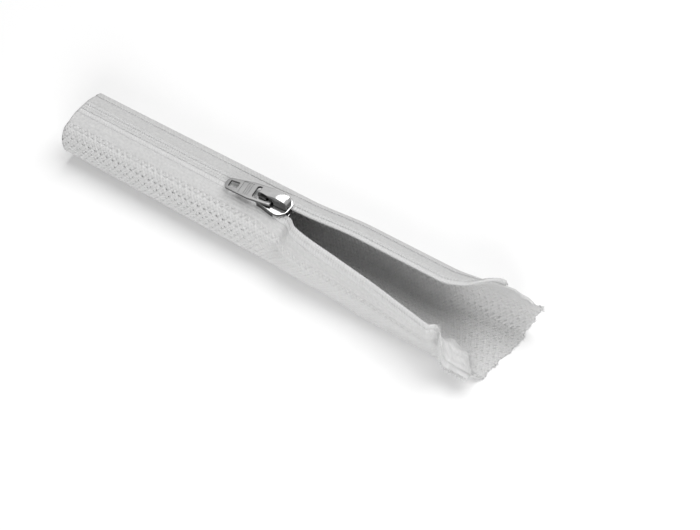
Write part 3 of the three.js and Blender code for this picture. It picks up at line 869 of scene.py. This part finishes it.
def makeStitches(name, side, stitch, end, node=None):
    shape = np.array(stitchShape)
    heights = stitch["height"] + stitch["radius"] * shape[:, 1]
    along = shape[:, 0] * stitch["length"]
    path = np.stack([along, np.full(len(shape), stitch["at"]), heights], axis=-1)
    cellPoints, cellFaces = tube(path, shape[:, 2] * stitch["radius"], coil["sides"])
    pitch = stitch["pitch"]
    count = int((end - stitchFrom) / pitch)
    thing = alongCloth(name, cellPoints, cellFaces, pitch, stitchFrom, count, side, threadFinish)
    closeEnds(thing)
    if node:
        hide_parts(node)
    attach(thing, "sleeve")


for side, word in ((-1, "near"), (1, "far")):
    makeStitches("coil_stitches_" + word, side, coilStitch, coil["end"][side])
    makeStitches("seam_stitches_" + word, side, seamStitch, seamStitch["end"], "seam_thread_" + word)
print("stitches made")


# Loose fibre ends. Along the cut each stretch has its side, its nearest and furthest distance
# from the zip, a count and the longest end. Along the zip edge it has its side, where along
# the sleeve it begins and ends, a count and the longest end
fray = {
    "seed": 7,
    "radius": 0.11,
    "sides": 5,
    "steps": 5,
    "root": 0.8,
    "shortest": 0.3,
    "bend": 0.6,
    "lift": 0.5,
    "taper": 0.6,
    "edgeBend": 1.0,
    "edgeHeight": 0.9,
    "cut": (
        (-1, 1.6, 16.0, 110, 3.0), (-1, 16.0, 33.0, 50, 1.1),
        (1, 1.6, 14.0, 60, 2.0), (1, 14.0, 33.0, 50, 1.1),
    ),
    "edge": ((-1, 168.0, 182.0, 150, 2.2), (1, 164.0, 178.0, 45, 0.9)),
}


def makeFray():
    chance = np.random.default_rng(fray["seed"])
    share = np.linspace(0, 1, fray["steps"])
    radii = fray["radius"] * mm * (1 - fray["taper"] * share)
    points, faces = [], []

    def drawEnd(path):
        path[:, 2] = np.maximum(path[:, 2], fray["radius"] * mm)
        newPoints, newFaces = tube(path, radii, fray["sides"])
        faces.extend([k + len(points) for k in face] for face in newFaces)
        points.extend(newPoints)

    for side, nearest, furthest, count, longest in fray["cut"]:
        for _ in range(count):
            d = chance.uniform(nearest, furthest)
            length = longest * chance.uniform(fray["shortest"], 1.0)
            cut = float(trimmed(form["length"], side, d))
            s = cut - fray["root"] + (fray["root"] + length) * share
            bend = chance.uniform(-fray["bend"], fray["bend"]) * length
            lift = chance.uniform(-fray["lift"], fray["lift"]) * length
            height = 0.0 if d < form["meshEdge"] else (form["meshLow"] + form["meshHigh"]) / 2
            drawEnd(drape(s, side, d + bend * share ** 2, height + lift * share ** 2))
    for side, first, last, count, longest in fray["edge"]:
        for _ in range(count):
            s = chance.uniform(first, last)
            length = longest * chance.uniform(fray["shortest"], 1.0)
            bend = chance.uniform(-fray["edgeBend"], fray["edgeBend"]) * length
            lift = chance.uniform(-fray["edgeBend"], fray["edgeBend"]) * length
            d = fray["root"] - (fray["root"] + length) * share
            drawEnd(drape(s + bend * share ** 2, side, d, fray["edgeHeight"] + lift * share ** 2))
    thing = newObject("frayed_ends", points, faces, threadFinish)
    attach(thing, "sleeve")


makeFray()
print("frayed ends made")


# Metal pieces: the solids welded and shaded smooth across their round parts
metal = {
    "sharpAngle": 32.0,
    "weld": 0.002,
    # Over this range of the normal's upward part, the painted dark reflection on upright faces fades
    # into the plated colour
    "paintedReflectionFrom": 0.1,
    "paintedReflectionTo": 0.9,
    "wear": 380.0,
    # How far the wear noise moves the edge of the painted dark reflection
    "wearDetail": 4.0,
    "paintedReflectionJitter": 0.3,
    "wearRoughness": 0.12,
    "grain": 2600.0,
    "grainDepth": 0.00002,
}


# Plated metal with a painted dark reflection: its upright faces get a darker colour that stands in for
# dark surroundings, because the white room would leave them too pale
def makeMetalFinish(name, light, dark, paintedDarkReflection, roughness, grain):
    finish, maker, principled = newFinish(name, {"Metallic": 1.0})
    place = maker.node("ShaderNodeTexCoord", output="Object")
    wear = noiseAt(maker, place, metal["wear"], metal["wearDetail"])
    fine = noiseAt(maker, place, metal["grain"])
    facing = maker.tree.nodes.new("ShaderNodeSeparateXYZ")
    maker.tree.links.new(maker.node("ShaderNodeTexCoord", output="Normal").socket, facing.inputs[0])
    # Painted dark reflection: where the normal's upward part is low, faces take the darker colour, and
    # the wear noise roughens the edge
    upward = Wire(maker.tree, facing.outputs[2]) + wear * metal["paintedReflectionJitter"] - metal["paintedReflectionJitter"] / 2
    share = maker.node("ShaderNodeMapRange", {"interpolation_type": "SMOOTHSTEP"}, {
        "Value": upward, "From Min": metal["paintedReflectionFrom"], "From Max": metal["paintedReflectionTo"]})
    polished = maker.mixColour(wear, grey(dark), grey(light, slightWarmth))
    # The painted dark reflection is laid over the polished tone here
    colour = maker.mixColour(share, grey(paintedDarkReflection), polished)
    uneven = metal["wearRoughness"]
    plug(maker.tree, principled.inputs["Roughness"], wear * uneven + (roughness - uneven / 2))
    finishSurface(maker, principled, fine, colour, (metal["grainDepth"], grain))
    return finish


# Each metal's last colour level is its painted dark reflection on upright faces
brightFinish = makeMetalFinish(
    "brightNickel", light=0.56, dark=0.42, paintedDarkReflection=0.14, roughness=0.14, grain=0.08)
satinFinish = makeMetalFinish(
    "satinNickel", light=0.31, dark=0.25, paintedDarkReflection=0.15, roughness=0.36, grain=0.3)
springFinish = makeMetalFinish(
    "springSteel", light=0.4, dark=0.32, paintedDarkReflection=0.12, roughness=0.3, grain=0.2)


def smoothCopy(name, node, body, finish):
    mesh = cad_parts[node].data.copy()
    mesh.name = name
    work = bmesh.new()
    work.from_mesh(mesh)
    bmesh.ops.remove_doubles(work, verts=work.verts, dist=metal["weld"] * mm)
    for face in work.faces:
        face.smooth = True
    sharp = math.radians(metal["sharpAngle"])
    for edge in work.edges:
        edge.smooth = len(edge.link_faces) == 2 and edge.calc_face_angle(0) < sharp
    work.to_mesh(mesh)
    work.free()
    mesh.materials.clear()
    mesh.materials.append(finish)
    thing = bpy.data.objects.new(name, mesh)
    scene.collection.objects.link(thing)
    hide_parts(node)
    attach(thing, body)


smoothCopy("slider_body_smooth", "slider_body", "slider", brightFinish)
smoothCopy("slider_cap_smooth", "slider_cap", "slider", brightFinish)
smoothCopy("lock_spring_smooth", "lock_spring", "slider", springFinish)
smoothCopy("pull_tab_smooth", "pull_tab", "tab", satinFinish)
print("metal pieces made")


# The cloth's flat size: width round the girth by length along the sleeve. The length is the mean
# from the plain end to the slanted cut, and the girth is the open part's
sheetSize = {"length": 0.186, "girthAt": 140.0}
meshWidth = 2 * (float(halfGirthAt(np.array(sheetSize["girthAt"]))) - form["meshEdge"]) * mm


# Floor, light and camera
stage = {
    "floorHalf": 3.0, "floorLight": 0.93, "floorMottle": 0.01, "floorGrain": 40.0,
    "floorGlow": 0.07, "worldStrength": 0.24,
    "key": {"place": (0.05, 0.26, 0.71), "size": 0.85, "strength": 5.3},
    "fill": {"place": (0.42, -0.64, 0.28), "size": 0.5, "strength": 4.1},
}


# One where the camera, a mirror or glass sees the surface, and nought for other light
def seenDirectly(maker):
    rays = maker.tree.nodes.new("ShaderNodeLightPath")
    seen, glossy, through = (
        Wire(maker.tree, rays.outputs[name])
        for name in ("Is Camera Ray", "Is Glossy Ray", "Is Transmission Ray"))
    return seen.larger(glossy).larger(through)


def makeFloor():
    half = stage["floorHalf"]
    corners = [(-half, -half, 0), (half, -half, 0), (half, half, 0), (-half, half, 0)]
    finish, maker, principled = newFinish("paleFloor", {"Roughness": 1.0, "Specular IOR Level": 0.0})
    place = maker.node("ShaderNodeTexCoord", output="Object")
    dust = noiseAt(maker, place, stage["floorGrain"])
    level = stage["floorLight"]
    colour = maker.mixColour(dust, grey(level - stage["floorMottle"]), grey(level))
    plug(maker.tree, principled.inputs["Base Color"], colour)
    glow = maker.mixColour(seenDirectly(maker), grey(0.0), grey(stage["floorGlow"]))
    plug(maker.tree, principled.inputs["Emission Color"], glow)
    principled.inputs["Emission Strength"].default_value = 1.0
    floor = newObject("floor", corners, [[0, 1, 2, 3]], finish, smooth=False)


def makeWorld():
    world = bpy.data.worlds.new("studio")
    scene.world = world
    world.use_nodes = True
    maker = NodeMaker(world.node_tree)
    shown = seenDirectly(maker)
    level = stage["worldStrength"]
    background = world.node_tree.nodes["Background"]
    background.inputs["Color"].default_value = (1, 1, 1, 1)
    plug(world.node_tree, background.inputs["Strength"], shown * (1 - level) + level)


def makeLamp(name, place, size, strength):
    lamp = bpy.data.lights.new(name, "AREA")
    lamp.shape = "DISK"
    lamp.size = size
    lamp.energy = strength
    thing = bpy.data.objects.new(name, lamp)
    thing.location = place
    thing.rotation_euler = (-Vector(place)).to_track_quat("-Z", "Y").to_euler()
    scene.collection.objects.link(thing)


view = {
    "azimuth": 34.1, "elevation": 50.0, "distance": 0.52, "focalPixels": 1435.2,
    "width": 700, "height": 530, "aimPixel": (290, 215), "aimHeight": 18.8,
    "sensor": 36, "nearest": 0.01,
}


def makeCamera():
    azimuth, elevation = math.radians(view["azimuth"]), math.radians(view["elevation"])
    level = math.cos(elevation)
    away = Vector((level * math.sin(azimuth), -level * math.cos(azimuth), math.sin(elevation)))
    aim = Vector((bodyHigh[0], shiftAcross * mm, view["aimHeight"] * mm))
    lens = bpy.data.cameras.new("camera")
    lens.sensor_width = view["sensor"]
    lens.lens = view["focalPixels"] / view["width"] * lens.sensor_width
    lens.shift_x = (view["width"] / 2 - view["aimPixel"][0]) / view["width"]
    lens.shift_y = (view["aimPixel"][1] - view["height"] / 2) / view["width"]
    lens.clip_start = view["nearest"]
    camera = bpy.data.objects.new("camera", lens)
    camera.location = aim + away * view["distance"]
    camera.rotation_euler = away.to_track_quat("Z", "Y").to_euler()
    scene.collection.objects.link(camera)
    scene.camera = camera


makeFloor()
makeWorld()
makeLamp("key", **stage["key"])
makeLamp("fill", **stage["fill"])
makeCamera()
scene.view_settings.view_transform = "Standard"
print("floor, light and camera made")
